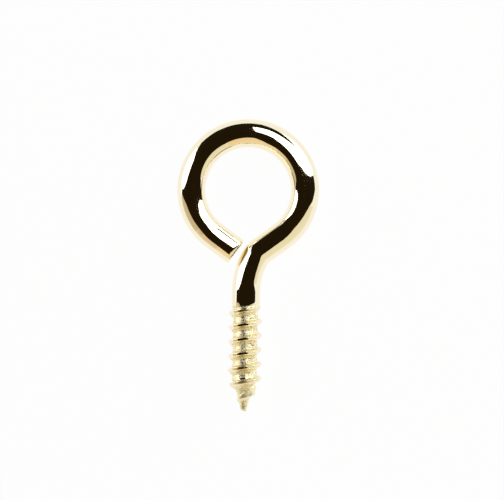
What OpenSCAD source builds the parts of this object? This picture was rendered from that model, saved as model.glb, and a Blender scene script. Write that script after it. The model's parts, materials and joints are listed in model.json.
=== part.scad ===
// Screw eye: one length of round wire, bent into an open eye, with a wood-screw thread
// rolled on the other end. It lies on its side as it comes to rest: the eye is flat in
// the XY plane, the point looks toward -Y and +Z is up. Millimetres and degrees.

/* [Wire] */
// Diameter of the wire
wire_d = 2.9; // [2.4:0.05:3.6]
// Rounding of the edge round the cut end
cut_round = 0.18; // [0.05:0.01:0.3]
// Extra rounding on the side where the shear rolled the edge over
cut_roll = 0.3; // [0:0.02:0.4]

/* [Eye] */
// Inside diameter of the eye
eye_d = 8.8; // [7:0.1:14]
// Angle at the eye's centre from the shank line to the start of the neck
neck_side = 36.7; // [30:0.1:45]
// Angle at the eye's centre from the shank line to where the cut end straightens
cut_side = 35.7; // [30:0.1:45]
// Clear gap between the cut end and the neck
cut_gap = 0.42; // [0.2:0.01:1]

/* [Neck] */
// Inside radius of the sharp bend where the eye turns into the neck
sharp_inside_r = 0.55; // [0.3:0.05:1.5]
// Turn of the sharp bend
sharp_turn = 23; // [15:1:35]
// Inside radius of the gentle bend that brings the neck onto the shank line
gentle_inside_r = 5.55; // [3:0.05:7]
// Length of plain shank between the neck and the start of the thread
shank_len = 1.3; // [1:0.05:20]

/* [Thread] */
// Length from the end of the plain shank to the tip
thread_len = 11.1; // [8:0.05:30]
// Diameter at the root of the thread
root_d = 2.5; // [1.8:0.05:2.8]
// Height of the ridge above the root
ridge_h = 0.5; // [0.3:0.05:0.7]
// Distance between neighbouring ridges
pitch = 1.47; // [1.2:0.01:2]
// Width of the flat at the root, between ridges
root_flat = 0.68; // [0.5:0.02:0.8]
// Width of the ridge's crest
crest_w = 0.2; // [0.05:0.01:0.2]
// How far the crest leans toward the eye
crest_lean = 0.05; // [0:0.01:0.08]
// Length over which the shank narrows to the root
shoulder_len = 0.7; // [0.2:0.05:0.9]

/* [Point] */
// Length of the tapered point
point_len = 3.2; // [2:0.1:5]
// Diameter of the blunt tip
tip_d = 0.72; // [0.4:0.02:1]
// Length of the rounded nose at the tip
nose_len = 0.28; // [0.1:0.02:0.4]
// How hollow the point is: 1 is a straight cone
point_hollow = 1.35; // [1:0.05:2]
// Length at the tip that the ridge does not reach
bare_tip = 0.55; // [0.45:0.05:1.5]
// Share of the root flat that is left filled on the outer side of the last turn
fill_share = 0.9; // [0:0.05:0.95]

/* [Hidden] */
brass = [0.86, 0.71, 0.42];

wire_r = wire_d / 2;
root_r = root_d / 2;
tip_r = tip_d / 2;
eye_r = eye_d / 2 + wire_r;
sharp_r = sharp_inside_r + wire_r;
gentle_r = gentle_inside_r + wire_r;

// Facets: columns round the wire, degrees a bend turns between rings, and rings in the rest
columns = 48;
bend_step = 6;
edge_rings = 4;
shank_rings = 7;
point_rings = 8;
nose_rings = 4;

function direction(a) = [cos(a), sin(a)];

// The wire is drawn from its cut end to its tip, as places of [point, heading, squeeze].
// The eye is bent clockwise, and both neck bends turn back to the left.
neck_from = neck_side - 90;
neck_heading = neck_side - 180;
mid_heading = neck_heading + sharp_turn;
shank_heading = -90;

function left_bend_centre(p, heading, r) = p + r * direction(heading + 90);
function left_bend_end(p, heading, r, turn) =
    left_bend_centre(p, heading, r) - r * direction(heading + turn + 90);

// Where the straight run from the eye has to end for the neck to land on the shank line
neck_start = eye_r * direction(neck_from);
neck_reach =
    left_bend_end([0, 0], neck_heading, sharp_r, sharp_turn)
    + left_bend_end([0, 0], mid_heading, gentle_r, shank_heading - mid_heading);
neck_run = -(neck_start + neck_reach)[0] / direction(neck_heading)[0];
sharp_start = neck_start + neck_run * direction(neck_heading);
gentle_start = left_bend_end(sharp_start, neck_heading, sharp_r, sharp_turn);
gentle_centre = left_bend_centre(gentle_start, mid_heading, gentle_r);
shank_start = gentle_centre - [gentle_r, 0];
thread_start = shank_start - [0, shank_len];

// The cut end runs straight off the eye, and its face stops cut_gap short of the neck
cut_from = 270 - cut_side;
cut_heading = cut_from - 90;
cut_start = eye_r * direction(cut_from);
cut_run = (cut_start - gentle_centre) * direction(cut_heading) - gentle_r - wire_r - cut_gap;
cut_face = cut_start - cut_run * direction(cut_heading);

// Bending squeezes the wire: it gets thicker on the inside of a bend and thinner on the
// outside. The squeeze is the share it gains on its left side, and it eases in and out.
squeeze_ease = 12;
function squeeze_of(r) = wire_r / r / 2;
function bend_places(p, heading, r, turn, squeeze) =
    let(steps = ceil(abs(turn) / bend_step))
    [
        for (i = [1:steps])
            let(t = turn * i / steps, ease = min(1, abs(t) / squeeze_ease, abs(turn - t) / squeeze_ease))
            [left_bend_end(p, heading, r, t), heading + t, squeeze * ease]
    ];

wire_places = concat(
    [[cut_start, cut_heading, 0]],
    bend_places(cut_start, cut_heading, -eye_r, neck_heading - cut_heading, squeeze_of(-eye_r)),
    [[sharp_start, neck_heading, 0]],
    bend_places(sharp_start, neck_heading, sharp_r, sharp_turn, 0),
    bend_places(gentle_start, mid_heading, gentle_r, shank_heading - mid_heading, squeeze_of(gentle_r))
);

// The ridge is a right-hand helix. Its places are in turns past the +X side of the wire,
// and z is the distance past the end of the plain shank.
first_crest = 0.425;
first_turn = -1 / 3;
lead_in = 0.6;
run_out = 0.7;
ridge_steps = floor(((thread_len - bare_tip - crest_w - first_crest) / pitch - first_turn) * columns);
last_turn = first_turn + ridge_steps / columns;

function mix(a, b, t) = a + (b - a) * t;
function crest_z(turn) = first_crest + pitch * turn;
function turn_at(step) = first_turn + step / columns;

// The ridge grows in height and width from nothing over its lead-in, and so it runs out
function growth(turn) = min(1, (turn - first_turn) / lead_in, (last_turn - turn) / run_out);
function foot(turn) = mix(crest_w, (pitch - root_flat) / 2, growth(turn));

// Where it begins to run out, rolling left the root above it partly filled
fill_reach = 0.3;
function fill(turn) =
    root_flat * fill_share * max(0, 1 - abs(turn - last_turn + run_out) / fill_reach);

// Radius at the root, and radius of the wire under the ridge with the shoulder to the shank
function root_at(z) =
    let(s = thread_len - z)
    s >= point_len ? root_r :
    s >= nose_len ? tip_r + (root_r - tip_r) * pow((s - nose_len) / (point_len - nose_len), point_hollow) :
    tip_r * sqrt(max(0, 1 - pow(1 - s / nose_len, 2)));
function body_at(z) =
    let(t = min(1, max(0, z / shoulder_len)))
    root_at(z) + (wire_r - root_r) * (1 - t * t * (3 - 2 * t));

// It rests on the far side of the eye and on the first full crest underneath
rest_crest_y = thread_start[1] - crest_z(0.75) + crest_lean + crest_w / 2;
rest_tilt = asin((root_r + ridge_h - wire_r) / (eye_r - rest_crest_y));
tip_y = thread_start[1] - thread_len;
centre_y = ((eye_r + tip_y) * cos(rest_tilt) + wire_r) / 2;

// A point on the surface, at an angle from the left side of the wire over its top
function skin(p, heading, r, a, squeeze = 0) =
    let(q = p + r * cos(a) * direction(heading + 90))
    [q[0], q[1], r * sin(a) * (1 + squeeze * cos(a)) / (1 + squeeze * squeeze / 2)];

// A point on the rounded edge of the cut, from 0 degrees on the face to 90 on the wire's side
function cut_skin(edge, a) =
    let(
        r = cut_round + cut_roll * pow(max(0, sin(a)), 2),
        p = cut_face + r * (1 - cos(edge)) * direction(cut_heading)
    )
    skin(p, cut_heading, wire_r - r * (1 - sin(edge)), a);
function thread_skin(z, r, turn) =
    skin(thread_start - [0, z], shank_heading, r, 360 * turn);

// Foot, crest, crest and foot of the ridge at one turn of the helix
function ridge_section(turn) =
    let(
        middle = crest_z(turn),
        upper_foot = middle - foot(turn) - fill(turn),
        lower_foot = middle + foot(turn),
        lower_edge = middle - crest_lean * growth(turn) + crest_w / 2,
        upper_edge = lower_edge - crest_w - fill(turn),
        r = root_at(middle) + ridge_h * growth(turn)
    )
    [
        thread_skin(upper_foot, body_at(upper_foot), turn),
        thread_skin(upper_edge, max(r, body_at(upper_edge)), turn),
        thread_skin(lower_edge, max(r, body_at(lower_edge)), turn),
        thread_skin(lower_foot, body_at(lower_foot), turn)
    ];

// Loops of points round the wire, from the cut end to the last one above the ridge
upper_loops = concat(
    [
        for (k = [0:edge_rings], i = [0:columns - 1])
            cut_skin(90 * k / edge_rings, 360 * turn_at(i))
    ],
    [
        for (place = wire_places, i = [0:columns - 1])
            skin(place[0], place[1], wire_r, 360 * turn_at(i), place[2])
    ],
    [
        for (k = [1:shank_rings], i = [0:columns - 1])
            let(
                foot_z = crest_z(turn_at(i)) - foot(turn_at(i)),
                z = mix(-shank_len, foot_z, k / (shank_rings + 1))
            )
            thread_skin(z, body_at(z), turn_at(i))
    ]
);
ridge_points = [for (i = [0:ridge_steps]) for (p = ridge_section(turn_at(i))) p];
// Loops from the first one below the ridge to the last one before the tip
lower_loops = [
    for (k = [1:point_rings + nose_rings])
        for (i = [ridge_steps - columns + 1:ridge_steps])
            let(
                nose = max(0, k - point_rings) / nose_rings,
                foot_z = crest_z(turn_at(i)) + foot(turn_at(i)),
                nose_z = thread_len - nose_len,
                z = nose > 0 ? nose_z + nose_len * sin(90 * nose) : mix(foot_z, nose_z, k / point_rings)
            )
            if (nose < 1) thread_skin(z, body_at(z), turn_at(i))
];

// Numbers of the points: cut face centre, upper loops, ridge, lower loops, tip
first_ridge = 1 + len(upper_loops);
first_lower = first_ridge + len(ridge_points);
tip = first_lower + len(lower_loops);
last_upper = first_ridge - columns;
last_lower = tip - columns;
function ridge(step, place) = first_ridge + 4 * step + place;

// Two triangles across a patch whose corners go round as seen from outside
function patch(a, b, c, d) = [[a, b, c], [a, c, d]];
function fan(centre, rim) = [for (i = [0:len(rim) - 2]) [centre, rim[i], rim[i + 1]]];
function next(i) = (i + 1) % columns;
function loop_faces(first, loops) = [
    for (k = [0:loops - 2], i = [0:columns - 1])
        let(a = first + columns * k, b = a + columns)
        for (f = patch(a + i, b + i, b + next(i), a + next(i))) f
];

upper_faces = concat(
    [for (i = [0:columns - 1]) [0, 1 + i, 1 + next(i)]],
    loop_faces(1, len(upper_loops) / columns)
);
ridge_faces = [
    for (i = [0:ridge_steps - 1], k = [0:2])
        for (f = patch(ridge(i, k), ridge(i, k + 1), ridge(i + 1, k + 1), ridge(i + 1, k))) f
];
root_faces = [
    for (i = [0:ridge_steps - columns - 1])
        let(j = i + columns)
        for (f = patch(ridge(i, 3), ridge(j, 0), ridge(j + 1, 0), ridge(i + 1, 3))) f
];
lower_faces = concat(
    loop_faces(first_lower, len(lower_loops) / columns),
    [for (i = [0:columns - 1]) [last_lower + i, tip, last_lower + next(i)]]
);
// The ridge's first turn meets the last upper loop, and its last turn the first lower loop
start_faces = concat(
    [
        for (i = [0:columns - 2])
            for (f = patch(last_upper + i, ridge(i, 0), ridge(i + 1, 0), last_upper + i + 1)) f
    ],
    fan(last_upper + columns - 1, [
        ridge(columns - 1, 0), ridge(columns, 0), ridge(0, 3),
        ridge(0, 2), ridge(0, 1), ridge(0, 0), last_upper
    ])
);
end_step = ridge_steps - columns;
end_faces = concat(
    [
        for (i = [0:columns - 2])
            let(a = end_step + 1 + i)
            for (f = patch(ridge(a, 3), first_lower + i, first_lower + i + 1, ridge(a + 1, 3))) f
    ],
    fan(first_lower, [
        ridge(end_step + 1, 3), ridge(end_step, 3), ridge(ridge_steps, 0),
        ridge(ridge_steps, 1), ridge(ridge_steps, 2), ridge(ridge_steps, 3), first_lower + columns - 1
    ])
);

module screw_eye() {
    color(brass)
        translate([0, -centre_y, wire_r + eye_r * sin(rest_tilt)])
            rotate([-rest_tilt, 0, 0])
                polyhedron(
                    points = concat(
                        [[cut_face[0], cut_face[1], 0]], upper_loops, ridge_points, lower_loops,
                        [thread_skin(thread_len, 0, 0)]
                    ),
                    faces = concat(
                        upper_faces, start_faces, ridge_faces, root_faces, end_faces, lower_faces
                    )
                );
}

screw_eye();
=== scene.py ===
"""Screw eye: the looks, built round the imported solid.

One finely divided wire stands for the solid. It has a bright brass plating, a rounded cut end and a
rolled thread with soft roots, thin crests and a lap from rolling. Metres and degrees.
"""

import json
import math

import bmesh
import bpy
import numpy as np
from mathutils import Matrix, Vector


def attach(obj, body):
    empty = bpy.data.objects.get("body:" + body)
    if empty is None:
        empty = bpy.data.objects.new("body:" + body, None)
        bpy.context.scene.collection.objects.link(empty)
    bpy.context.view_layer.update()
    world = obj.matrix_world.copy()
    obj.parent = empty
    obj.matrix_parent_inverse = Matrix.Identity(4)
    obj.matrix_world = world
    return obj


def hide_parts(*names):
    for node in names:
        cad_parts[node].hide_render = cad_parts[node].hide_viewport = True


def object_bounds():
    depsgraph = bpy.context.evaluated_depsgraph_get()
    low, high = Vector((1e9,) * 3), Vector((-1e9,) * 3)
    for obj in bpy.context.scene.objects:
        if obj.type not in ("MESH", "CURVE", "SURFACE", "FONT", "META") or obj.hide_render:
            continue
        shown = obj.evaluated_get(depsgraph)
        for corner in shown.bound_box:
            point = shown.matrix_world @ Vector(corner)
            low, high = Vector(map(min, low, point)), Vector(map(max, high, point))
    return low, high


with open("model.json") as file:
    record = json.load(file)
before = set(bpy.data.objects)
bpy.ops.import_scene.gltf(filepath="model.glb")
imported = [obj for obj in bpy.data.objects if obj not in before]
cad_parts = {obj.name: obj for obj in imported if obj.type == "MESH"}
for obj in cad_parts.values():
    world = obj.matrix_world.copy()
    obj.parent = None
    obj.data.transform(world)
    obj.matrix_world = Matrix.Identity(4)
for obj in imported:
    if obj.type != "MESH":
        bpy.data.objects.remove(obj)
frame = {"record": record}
cad_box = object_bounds()
mounts = {mount["name"]: mount for mount in frame["record"]["mounts"]}

MM = 0.001

# ---- Sizes of the wire, the same as the solid's ----
WIRE_R = 1.45 * MM
CUT_ROUND = 0.18 * MM
CUT_ROLL = 0.3 * MM
EYE_R = 5.85 * MM
NECK_SIDE = 36.7
CUT_SIDE = 35.7
CUT_GAP = 0.42 * MM
SHARP_R = 0.55 * MM + WIRE_R
SHARP_TURN = 23
GENTLE_R = 5.55 * MM + WIRE_R
SHANK_HEADING = -90
SHANK_LEN = 1.3 * MM
# Degrees of a bend over which the wire's squeeze eases in and out
SQUEEZE_EASE = 12
THREAD_LEN = 11.1 * MM
ROOT_R = 1.25 * MM
RIDGE_H = 0.5 * MM
PITCH = 1.47 * MM
ROOT_FLAT = 0.68 * MM
CREST_W = 0.2 * MM
CREST_LEAN = 0.05 * MM
POINT_LEN = 3.2 * MM
TIP_R = 0.36 * MM
NOSE_LEN = 0.28 * MM
POINT_HOLLOW = 1.35
BARE_TIP = 0.55 * MM
FILL_SHARE = 0.9
FILL_REACH = 0.3
# Where the ridge crosses the +X side of the wire in turn 0. Its ends, and how long it takes to
# grow and to run out, are in turns of the thread
FIRST_CREST = 0.425 * MM
FIRST_TURN = -1 / 3
LAST_TURN = (THREAD_LEN - BARE_TIP - CREST_W - FIRST_CREST) / PITCH
LEAD_IN = 0.6
RUN_OUT = 0.7

# ---- What the solid has no room for ----
# The shoulder starts a little sooner and ends a little later than the solid's, so it is softer
SHOULDER_START = -0.2 * MM
SHOULDER_LEN = 1.3 * MM
# Roundness of the ridge at its crest and its foot, as shares of the ridge's height
CREST_SOFT = 0.08
FOOT_SOFT = 0.4
# A lap left by rolling: a second, low crest beside the ridge for a part of one turn. Its top
# falls toward the point, and it slopes off at its edges and ends, steeper for a higher number
LAP_TURN = 5.22
LAP_REACH = 0.16
LAP_PLACE = -0.46 * MM
LAP_W = 0.13 * MM
LAP_H = 0.035 * MM
LAP_FALL = 0.68
LAP_EDGE_STEEP = 1.7
LAP_END_STEEP = 2
# The roots rise toward the ridge nearer the point, and this fades out where the point starts
ROOT_SLOPE = 0.035 * MM
SLOPE_FADE = PITCH / 2
# The crests fall by so much in each crest width toward the point, over at most two widths, and
# are a little wider than the solid's on each side
CREST_FALL = 0.04 * MM
FALL_WIDTHS = 2
CREST_SPREAD = 0.035 * MM
# The burnish is full this near to a crest and gone at twice as far. In turns of the thread, it
# rises over the first and falls toward the last
BRIGHT_W = CREST_W / 1.2
BRIGHT_RISE = 0.9
LAST_BRIGHT = 7.6
BRIGHT_FALL = 4.5
# The rolled skin turns matt just past the plain shank. At the point it is more matt, with fewer
# scratches
MATT_START = 0.2 * MM
MATT_EASE = 0.25 * MM
POINT_MATT = 0.12
POINT_CALM = 0.5

# ---- The finish, and the painted shade of the scratches ----
BRASS_LIGHT = (0.95, 0.87, 0.67, 1)
BRASS_DEEP = (0.94, 0.85, 0.63, 1)
ROLLED_TINT = (0.98, 0.93, 0.67, 1)
# The scratches' deeper gold is painted shade, standing in for the dark reflections seen in them
SCRATCH_PAINTED_SHADE = (0.68, 0.49, 0.2, 1)
MIRROR_ROUGH = 0.05
ROLLED_ROUGH = 0.62
SCRATCH_ROUGH = 0.13
# Noise per metre, for the shade of the plating and for the grain of the rolled skin
CLOUD_SCALE = 900.0
GRAIN_SCALE = 3000.0
GRAIN_H = 0.04 * MM
# A scratch runs where the grain is near its middle value: full to the core, none past the edge
SCRATCH_CORE = 0.014
SCRATCH_EDGE = 0.045

# ---- How finely the wire is divided ----
COLUMNS = 96
BEND_STEP = 2
EDGE_RINGS = 8
FACE_RINGS = 5
SHANK_RINGS = 12
RINGS_PER_PITCH = 48
NOSE_RINGS = 14

# ---- The studio, as it is seen from the screw eye ----
CARD_RADIUS = 0.6
# How often the edges of a card are halved, so that it bends round the dome
CARD_HALVINGS = 4
# Degrees from overhead to the lower edge of the cards, and about how far apart its points are
HORIZON = 89
HORIZON_STEP = 10
# Power by which a card's colour is deeper overhead, from this share of the dome's height up
DEEPEN = 1.5
DEEP_FROM = 0.6
WHITE = (1.0, 1.0, 1.0)
WARM = (1.0, 0.85, 0.6)
PALE = (0.97, 0.93, 0.77)
DARK = (1.0, 0.7, 0.32)
FLOOR_HALF = 2.0
FLOOR_GAP = 0.01 * MM
FLOOR_SHADE = 0.86
# Share of plain white in the floor as the camera sees it. The rest is lit, and has the shadow
FLOOR_GLOW = 0.97


def direction(angle):
    """The flat unit vector at an angle from +X."""
    return np.array([math.cos(math.radians(angle)), math.sin(math.radians(angle))])


def horizon(az_from, az_to, down=HORIZON):
    """Points of an outline along the horizon."""
    steps = 2 + int(abs(az_to - az_from) / HORIZON_STEP)
    return [tuple(down * direction(az)) for az in np.linspace(az_from, az_to, steps)]


# Outlines are in degrees from straight overhead, toward +X and toward +Y. Nearer cards hide others.
SOFTBOX_RIGHT = [(2, 2), *horizon(10, 54), (50, 48), (33, 50), (18, 60), (1, 62)]
SOFTBOX_LEFT = [(-18, 3), (-18, 12), *horizon(140, 182)]
# The dark side of the set round the camera, with a wide wing at the back and a boom to the right
CANOPY = [
    (5, 7), (17, 12), (45, 16), (63, 19), *horizon(17, 4), (75, -8), (60, -11), (44, -16), (26, -22),
    (18, -30), (3, -27), (-3, -27), (-8, -36), (-20, -47), (-34, -38), (-47, -26), (-60, -12), (-86, -3),
    (-86, 3), (-70, 4), (-52, 10), (-46, 17), (-45, 26), (-57, 44), (-60, 62), (-44, 77),
    *horizon(104, 89), (3, 58), (3, 30), (8, 21),
]
# A dark flag at the back, past the end of the right softbox
FLAG = [(2, 61), (18, 58), (33, 48), (50, 46), (41, 65), (28, 79), *horizon(80, 89)]
# The warm cards in front. The two smaller ones on the left stand before the first and are dimmer
FRONT_LEFT = [*horizon(184, 296), (0, 0)]
SIDE_LEFT = [*horizon(184, 233), (0, 0)]
FAR_LEFT = [*horizon(184, 217), (0, 0)]
FRONT_RIGHT = [*horizon(294, 350), (0, 0)]
# name: (outline, colour, strength, share of CARD_RADIUS)
CARDS = {
    "front_left": (FRONT_LEFT, WARM, 0.9, 1.06),
    "side_left": (SIDE_LEFT, WARM, 0.76, 1.04),
    "far_left": (FAR_LEFT, WARM, 0.62, 1.02),
    "front_right": (FRONT_RIGHT, PALE, 0.9, 1.08),
    "softbox_right": (SOFTBOX_RIGHT, WHITE, 2.8, 1.0),
    "softbox_left": (SOFTBOX_LEFT, WHITE, 2.8, 1.0),
    "canopy": (CANOPY, DARK, 0.014, 0.94),
    "flag": (FLAG, DARK, 0.014, 0.94),
}

# ---- The camera: straight above, turned a little, with a long lens ----
LENS = 200
SENSOR = 36
CLIP_NEAR = 0.01
CLIP_FAR = 10
VIEW_WIDTH = 51.84 * MM
VIEW_TURN = 1.2
VIEW_CENTRE = Vector((0.52 * MM, 1.56 * MM, 1.56 * MM))


def left_bend_centre(point, heading, radius):
    """Centre of a bend to the left, or to the right for a radius under 0."""
    return point + radius * direction(heading + 90)


def left_bend_end(point, heading, radius, turn):
    """Where such a bend is after some degrees of turn."""
    return left_bend_centre(point, heading, radius) - radius * direction(heading + turn + 90)


def bend_places(point, heading, radius, turn, squeeze):
    """Places along a bend. Squeeze is the share of thickness that the wire gains on its left side."""
    steps = math.ceil(abs(turn) / BEND_STEP)
    places = []
    for t in [turn * i / steps for i in range(1, steps + 1)]:
        ease = min(1, abs(t) / SQUEEZE_EASE, abs(turn - t) / SQUEEZE_EASE)
        places.append((left_bend_end(point, heading, radius, t), heading + t, squeeze * ease))
    return places


def squeeze_of(radius):
    """The share of thickness that the wire gains on the inner side of a bend."""
    return WIRE_R / radius / 2


def wire_path():
    """The cut face, and places (point, heading, squeeze) from there to the end of the neck."""
    neck_heading = NECK_SIDE - 180
    mid_heading = neck_heading + SHARP_TURN
    gentle_turn = SHANK_HEADING - mid_heading
    origin = np.zeros(2)
    neck_start = EYE_R * direction(NECK_SIDE - 90)
    neck_reach = left_bend_end(origin, neck_heading, SHARP_R, SHARP_TURN)
    neck_reach = neck_reach + left_bend_end(origin, mid_heading, GENTLE_R, gentle_turn)
    neck_run = -(neck_start + neck_reach)[0] / direction(neck_heading)[0]
    sharp_start = neck_start + neck_run * direction(neck_heading)
    gentle_start = left_bend_end(sharp_start, neck_heading, SHARP_R, SHARP_TURN)
    gentle_centre = left_bend_centre(gentle_start, mid_heading, GENTLE_R)

    cut_heading = 180 - CUT_SIDE
    cut_start = EYE_R * direction(270 - CUT_SIDE)
    cut_run = (cut_start - gentle_centre) @ direction(cut_heading) - GENTLE_R - WIRE_R - CUT_GAP
    cut_face = cut_start - cut_run * direction(cut_heading)

    places = [(cut_start, cut_heading, 0)]
    places += bend_places(cut_start, cut_heading, -EYE_R, neck_heading - cut_heading, squeeze_of(-EYE_R))
    places += [(sharp_start, neck_heading, 0)]
    places += bend_places(sharp_start, neck_heading, SHARP_R, SHARP_TURN, 0)
    places += bend_places(gentle_start, mid_heading, GENTLE_R, gentle_turn, squeeze_of(GENTLE_R))
    return cut_face, cut_heading, places, gentle_centre - np.array([GENTLE_R, 0])


def cut_end(point, heading, turns):
    """Rings of the flat cut face and of its edge, which the shear has rolled over on the top side."""
    roundness = CUT_ROUND + CUT_ROLL * np.clip(np.sin(2 * np.pi * turns), 0, 1) ** 2
    shares = [i / FACE_RINGS for i in range(1, FACE_RINGS)]
    rings = [ring(point, heading, (WIRE_R - roundness) * share, turns) for share in shares]
    for i in range(EDGE_RINGS + 1):
        a = math.pi / 2 * i / EDGE_RINGS
        radius = WIRE_R - roundness * (1 - math.sin(a))
        rings.append(ring(point, heading, radius, turns, along=roundness * (1 - math.cos(a))))
    return rings


def soft_max(a, b, reach):
    """The larger of a and b, with the corner between them rounded."""
    near = np.clip(1 - np.abs(a - b) / reach, 0, None)
    return np.maximum(a, b) + near * near * reach / 4


def root_at(z):
    """Radius at the root of the thread, z past the end of the plain shank."""
    s = THREAD_LEN - z
    taper = np.clip((s - NOSE_LEN) / (POINT_LEN - NOSE_LEN), 0, 1) ** POINT_HOLLOW
    nose = np.sqrt(np.clip(1 - np.clip(1 - s / NOSE_LEN, 0, 1) ** 2, 0, 1))
    return (TIP_R + (ROOT_R - TIP_R) * taper) * nose


def shoulder_at(z):
    """1 on the plain shank, and 0 past the shoulder, where only the root is left."""
    t = np.clip((z - SHOULDER_START) / SHOULDER_LEN, 0, 1)
    return 1 - t ** 3 * (10 - 15 * t + 6 * t * t)


def body_at(z, past_crest):
    """Radius of the wire under the ridge. past_crest is in turns of the thread."""
    left_of_slope = np.clip(1 - (z - THREAD_LEN + POINT_LEN) / SLOPE_FADE, 0, 1)
    slope = ROOT_SLOPE * np.sin(2 * np.pi * past_crest) * left_of_slope
    shoulder = shoulder_at(z)
    return root_at(z) - slope * (1 - shoulder) + (WIRE_R - ROOT_R) * shoulder


def lap_at(z, middle, turn):
    """Height of the lap beside the ridge's middle, and how much of it is there."""
    past_lap = (z - middle - LAP_PLACE) / LAP_W
    across = np.clip(LAP_EDGE_STEEP * (1 - np.abs(past_lap)), 0, 1)
    along = np.clip(LAP_END_STEEP * (1 - np.abs(turn - LAP_TURN) / LAP_REACH), 0, 1)
    lap = across * along
    return LAP_H * lap * (1 - LAP_FALL * past_lap), lap


def ridge_over(z, turn):
    """How far one turn of the ridge stands over the wire at z, and how burnished it is there."""
    growth = np.clip(np.minimum((turn - FIRST_TURN) / LEAD_IN, (LAST_TURN - turn) / RUN_OUT), 0, 1)
    fill = ROOT_FLAT * FILL_SHARE * np.clip(1 - np.abs(turn - LAST_TURN + RUN_OUT) / FILL_REACH, 0, 1)
    foot = CREST_W + ((PITCH - ROOT_FLAT) / 2 - CREST_W) * growth
    middle = FIRST_CREST + PITCH * turn
    crest = middle - CREST_LEAN * growth
    lower_edge = crest + CREST_W / 2 + CREST_SPREAD
    upper_edge = crest - CREST_W / 2 - CREST_SPREAD - fill
    upper_foot = middle - foot - fill
    above = (z - upper_foot) / (upper_edge - upper_foot)
    below = (middle + foot - z) / (middle + foot - lower_edge)
    rise = soft_max(0, -soft_max(-1, -np.minimum(above, below), CREST_SOFT), FOOT_SOFT)
    fall = CREST_FALL * np.clip((z - upper_edge) / CREST_W, 0, FALL_WIDTHS)
    height = root_at(middle) + RIDGE_H * growth - fall - body_at(z, (z - middle) / PITCH)
    lap_height, lap = lap_at(z, middle, turn)
    near_crest = np.clip(2 - np.abs(z - crest) / BRIGHT_W, 0, 1)
    burnish = np.minimum((turn - FIRST_TURN) / BRIGHT_RISE, (LAST_BRIGHT - turn) / BRIGHT_FALL)
    bright = np.maximum(near_crest * np.clip(burnish, 0, 1), 2 * lap - 1)
    return np.clip(height, 0, None) * rise + lap_height, bright


def thread_radius(z, turn_part):
    """Radius of the threaded wire at z, part of a turn round, and how burnished it is there."""
    turn = turn_part + np.floor((z - FIRST_CREST) / PITCH - turn_part)
    over, bright = ridge_over(z, turn)
    next_over, next_bright = ridge_over(z, turn + 1)
    body = body_at(z, (z - FIRST_CREST) / PITCH - turn_part)
    return body + np.maximum(over, next_over), np.maximum(bright, next_bright)


def ring(point, heading, radius, turns, along=0, squeeze=0):
    """Points round the wire. radius and along, a shift along the wire, may be one for each of turns."""
    a = 2 * np.pi * turns
    left = radius * np.cos(a)
    out = np.empty((len(turns), 3))
    out[:, :2] = point + np.outer(left, direction(heading + 90))
    out[:, :2] += np.outer(along * np.ones_like(turns), direction(heading))
    out[:, 2] = radius * np.sin(a) * (1 + squeeze * np.cos(a)) / (1 + squeeze * squeeze / 2)
    return out


def wire_mesh():
    """The whole wire as one closed skin, with how matt it is and how scratched, which also places the
    scratches' painted shade, at each point.
    """
    turns = np.arange(COLUMNS) / COLUMNS
    cut_face, cut_heading, places, shank_start = wire_path()
    rings = cut_end(cut_face, cut_heading, turns)
    rings += [ring(point, heading, WIRE_R, turns, squeeze=squeeze) for point, heading, squeeze in places]
    plain = len(rings)
    thread_start = shank_start - np.array([0, SHANK_LEN])
    step = PITCH / RINGS_PER_PITCH
    shank = np.linspace(-SHANK_LEN, SHOULDER_START, SHANK_RINGS)[1:-1]
    nose_z = THREAD_LEN - NOSE_LEN
    thread = np.arange(SHOULDER_START, nose_z, step)
    nose = nose_z + NOSE_LEN * np.sin(np.pi / 2 * np.arange(NOSE_RINGS) / NOSE_RINGS)
    matt = [np.zeros(COLUMNS)] * plain
    scratched_and_shaded = [np.zeros(COLUMNS)] * plain
    for z in np.concatenate([shank, thread, nose]):
        radius, bright = thread_radius(z, turns)
        rings.append(ring(thread_start - np.array([0, z]), SHANK_HEADING, radius, turns))
        rolled = np.clip((z - MATT_START) / MATT_EASE, 0, 1)
        pointed = np.clip((z - THREAD_LEN + POINT_LEN) / PITCH, 0, 1)
        matt.append(rolled * (1 - POINT_MATT + POINT_MATT * pointed) * (1 - bright))
        # Where scratches run, and with them their painted shade
        scratched_and_shaded.append(rolled * (1 - POINT_CALM * pointed) * (1 - bright))
    tip = thread_start - np.array([0, THREAD_LEN])
    points = np.concatenate([[[*cut_face, 0]], *rings, [[*tip, 0]]])

    columns = np.arange(COLUMNS)
    following = (columns + 1) % COLUMNS
    faces = [(0, 1 + b, 1 + a) for a, b in zip(columns, following)]
    for k in range(len(rings) - 1):
        first = 1 + k * COLUMNS
        second = first + COLUMNS
        for a, b in zip(columns, following):
            faces.append((first + a, first + b, second + b, second + a))
    last = 1 + (len(rings) - 1) * COLUMNS
    faces += [(last + a, last + b, len(points) - 1) for a, b in zip(columns, following)]
    finish_and_shade = {
        "matt": np.concatenate([[0], *matt, [1]]),
        "scratched_and_shaded": np.concatenate([[0], *scratched_and_shaded, [0]]),
    }
    return points, faces, finish_and_shade


def lay_down(points):
    """From the wire's own frame, round the eye's centre, to how it lies at rest."""
    centre = Vector(mounts["eye"]["pos_m"])
    normal = Vector(mounts["eye"]["axis"])
    tilt = math.atan2(normal.y, normal.z)
    matrix = Matrix.Translation(centre) @ Matrix.Rotation(-tilt, 4, "X")
    rotation = np.array(matrix.to_3x3())
    return points @ rotation.T + np.array(matrix.translation)


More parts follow.
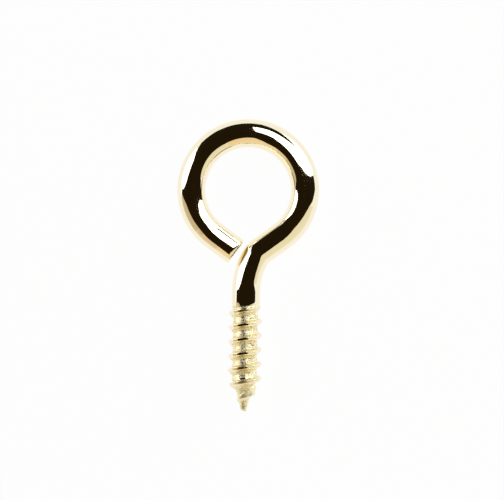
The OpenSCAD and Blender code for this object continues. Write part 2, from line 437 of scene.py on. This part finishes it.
def make_wire():
    """The wire as an object, with its finish, and where the scratches' painted shade goes, as attributes
    of its points.
    """
    points, faces, finish_and_shade = wire_mesh()
    mesh = bpy.data.meshes.new("screw_eye_wire")
    mesh.from_pydata(lay_down(points).tolist(), [], [[int(i) for i in f] for f in faces])
    for name, values in finish_and_shade.items():
        attribute = mesh.attributes.new(name, "FLOAT", "POINT")
        attribute.data.foreach_set("value", np.asarray(values, np.float32))
    mesh.shade_smooth()
    mesh.validate()
    wire = bpy.data.objects.new("screw_eye_wire", mesh)
    bpy.context.scene.collection.objects.link(wire)
    return wire


def node(tree, kind, inputs=(), **settings):
    """A new shader node. An input is a value, or a socket to be linked."""
    made = tree.nodes.new(kind)
    for name, value in settings.items():
        setattr(made, name, value)
    for name, value in dict(inputs).items():
        if isinstance(value, bpy.types.NodeSocket):
            tree.links.new(value, made.inputs[name])
        else:
            made.inputs[name].default_value = value
    return made


def plated_brass():
    """Bright brass plating: near mirror on the wire, matt and scratched in the thread, with painted
    shade in the scratches.
    """
    material = bpy.data.materials.new("plated_brass")
    material.use_nodes = True
    tree = material.node_tree
    shader = tree.nodes["Principled BSDF"]
    shader.inputs["Metallic"].default_value = 1.0
    place = node(tree, "ShaderNodeTexCoord").outputs["Object"]
    matt = node(tree, "ShaderNodeAttribute", attribute_name="matt").outputs["Fac"]
    scratched_and_shaded = node(tree, "ShaderNodeAttribute", attribute_name="scratched_and_shaded").outputs["Fac"]

    cloud = node(tree, "ShaderNodeTexNoise", {"Vector": place, "Scale": CLOUD_SCALE, "Detail": 4.0})
    grain = node(tree, "ShaderNodeTexNoise", {"Vector": place, "Scale": GRAIN_SCALE, "Detail": 2.0})
    tint = node(tree, "ShaderNodeMix", {"Factor": cloud.outputs["Fac"]}, data_type="RGBA")
    tint.inputs["A"].default_value = BRASS_LIGHT
    tint.inputs["B"].default_value = BRASS_DEEP

    # Fine crooked scratches, smoother, run over the rolled skin. Their deeper gold is painted shade, for
    # the dark reflections seen in them
    off = node(tree, "ShaderNodeMath", {0: grain.outputs["Fac"], 1: 0.5}, operation="SUBTRACT")
    far = node(tree, "ShaderNodeMath", {0: off.outputs[0]}, operation="ABSOLUTE")
    line = node(tree, "ShaderNodeMapRange", {
        "Value": far.outputs[0], "From Min": SCRATCH_CORE, "From Max": SCRATCH_EDGE,
        "To Min": 1.0, "To Max": 0.0,
    })
    scratch_and_shade = node(tree, "ShaderNodeMath", {
        0: line.outputs["Result"], 1: scratched_and_shaded,
    }, operation="MULTIPLY")

    pale = node(tree, "ShaderNodeMix", {"Factor": matt, "A": tint.outputs["Result"]}, data_type="RGBA")
    pale.inputs["B"].default_value = ROLLED_TINT
    # Painted shade: where the scratches run, the colour turns a deeper gold
    finish_and_shade = node(tree, "ShaderNodeMix", {
        "Factor": scratch_and_shade.outputs[0], "A": pale.outputs["Result"],
    }, data_type="RGBA")
    finish_and_shade.inputs["B"].default_value = SCRATCH_PAINTED_SHADE
    tree.links.new(finish_and_shade.outputs["Result"], shader.inputs["Base Color"])

    dull = node(tree, "ShaderNodeMapRange", {
        "Value": matt, "To Min": MIRROR_ROUGH, "To Max": ROLLED_ROUGH,
    })
    rough = node(tree, "ShaderNodeMix", {
        "Factor": scratch_and_shade.outputs[0], "A": dull.outputs["Result"], "B": SCRATCH_ROUGH,
    })
    tree.links.new(rough.outputs["Result"], shader.inputs["Roughness"])

    height = node(tree, "ShaderNodeMath", {0: off.outputs[0], 1: matt}, operation="MULTIPLY")
    bump = node(tree, "ShaderNodeBump", {
        "Height": height.outputs[0], "Strength": 1.0, "Distance": GRAIN_H,
    })
    tree.links.new(bump.outputs["Normal"], shader.inputs["Normal"])
    return material


def glowing(name, colour, strength):
    """A glowing card: paler and brighter at the horizon, deeper in colour overhead."""
    material = bpy.data.materials.new(name)
    material.use_nodes = True
    tree = material.node_tree
    tree.nodes.clear()
    place = node(tree, "ShaderNodeTexCoord").outputs["Object"]
    split = node(tree, "ShaderNodeSeparateXYZ", {"Vector": place})
    low = node(tree, "ShaderNodeMapRange", {
        "Value": split.outputs["Z"], "From Min": 0.0, "From Max": DEEP_FROM * CARD_RADIUS,
        "To Min": 1.0, "To Max": 0.0,
    })
    shade = node(tree, "ShaderNodeMix", {"Factor": low.outputs["Result"]}, data_type="RGBA")
    shade.inputs["A"].default_value = (*(c ** DEEPEN for c in colour), 1)
    shade.inputs["B"].default_value = (*(c ** (1 / DEEPEN) for c in colour), 1)
    glow = node(tree, "ShaderNodeEmission", {"Color": shade.outputs["Result"], "Strength": strength})
    out = node(tree, "ShaderNodeOutputMaterial")
    tree.links.new(glow.outputs[0], out.inputs["Surface"])
    return material


def make_card(name, outline, colour, strength, share):
    """A curved card or softbox: a patch of a dome over the object, unseen by the camera."""
    sheet = bmesh.new()
    sheet.faces.new([sheet.verts.new((east, north, 0)) for east, north in outline])
    bmesh.ops.triangulate(sheet, faces=sheet.faces[:])
    for _ in range(CARD_HALVINGS):
        bmesh.ops.subdivide_edges(sheet, edges=sheet.edges[:], cuts=1, use_grid_fill=True)
    for vert in sheet.verts:
        east, north = vert.co.x, vert.co.y
        down = math.radians(math.hypot(east, north))
        az = math.atan2(north, east)
        place = (math.sin(down) * math.cos(az), math.sin(down) * math.sin(az), math.cos(down))
        vert.co = CARD_RADIUS * share * Vector(place)
    mesh = bpy.data.meshes.new(name)
    sheet.to_mesh(mesh)
    sheet.free()
    mesh.materials.append(glowing(name, colour, strength))
    card = bpy.data.objects.new(name, mesh)
    card.visible_camera = False
    bpy.context.scene.collection.objects.link(card)


def make_floor():
    """A white floor: plain matt for the light, glowing where the camera or the metal sees it."""
    material = bpy.data.materials.new("white_floor")
    material.use_nodes = True
    tree = material.node_tree
    tree.nodes.clear()
    matt = node(tree, "ShaderNodeBsdfDiffuse", {"Color": (FLOOR_SHADE, FLOOR_SHADE, FLOOR_SHADE, 1)})
    glow = node(tree, "ShaderNodeEmission", {"Color": (1, 1, 1, 1), "Strength": 1.0})
    path = node(tree, "ShaderNodeLightPath")
    seen = node(tree, "ShaderNodeMath", {
        0: path.outputs["Is Camera Ray"], 1: FLOOR_GLOW,
    }, operation="MULTIPLY")
    part = node(tree, "ShaderNodeMath", {
        0: seen.outputs[0], 1: path.outputs["Is Glossy Ray"],
    }, operation="ADD")
    mix = node(tree, "ShaderNodeMixShader", {0: part.outputs[0], 1: matt.outputs[0], 2: glow.outputs[0]})
    out = node(tree, "ShaderNodeOutputMaterial")
    tree.links.new(mix.outputs[0], out.inputs["Surface"])
    corners = [(FLOOR_HALF * x, FLOOR_HALF * y, 0) for x, y in [(-1, -1), (1, -1), (1, 1), (-1, 1)]]
    mesh = bpy.data.meshes.new("floor")
    mesh.from_pydata(corners, [], [(0, 1, 2, 3)])
    mesh.materials.append(material)
    floor = bpy.data.objects.new("floor", mesh)
    floor.location.z = cad_box[0].z - FLOOR_GAP
    bpy.context.scene.collection.objects.link(floor)


def make_world():
    """Even white light from all round."""
    world = bpy.data.worlds.new("white_tent")
    world.use_nodes = True
    background = world.node_tree.nodes["Background"]
    background.inputs["Color"].default_value = (1, 1, 1, 1)
    background.inputs["Strength"].default_value = 1.0
    bpy.context.scene.world = world


def make_camera():
    data = bpy.data.cameras.new("camera")
    data.lens = LENS
    data.sensor_width = SENSOR
    data.clip_start = CLIP_NEAR
    data.clip_end = CLIP_FAR
    camera = bpy.data.objects.new("camera", data)
    camera.location = VIEW_CENTRE + Vector((0, 0, VIEW_WIDTH * LENS / SENSOR))
    camera.rotation_euler = (0, 0, math.radians(VIEW_TURN))
    bpy.context.scene.collection.objects.link(camera)
    bpy.context.scene.camera = camera


make_camera()
make_world()
make_floor()
for name, facts in CARDS.items():
    make_card(name, *facts)
wire = make_wire()
wire.data.materials.append(plated_brass())
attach(wire, "root")
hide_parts("screw_eye")

bpy.context.scene.view_settings.view_transform = "Standard"
bpy.context.view_layer.update()
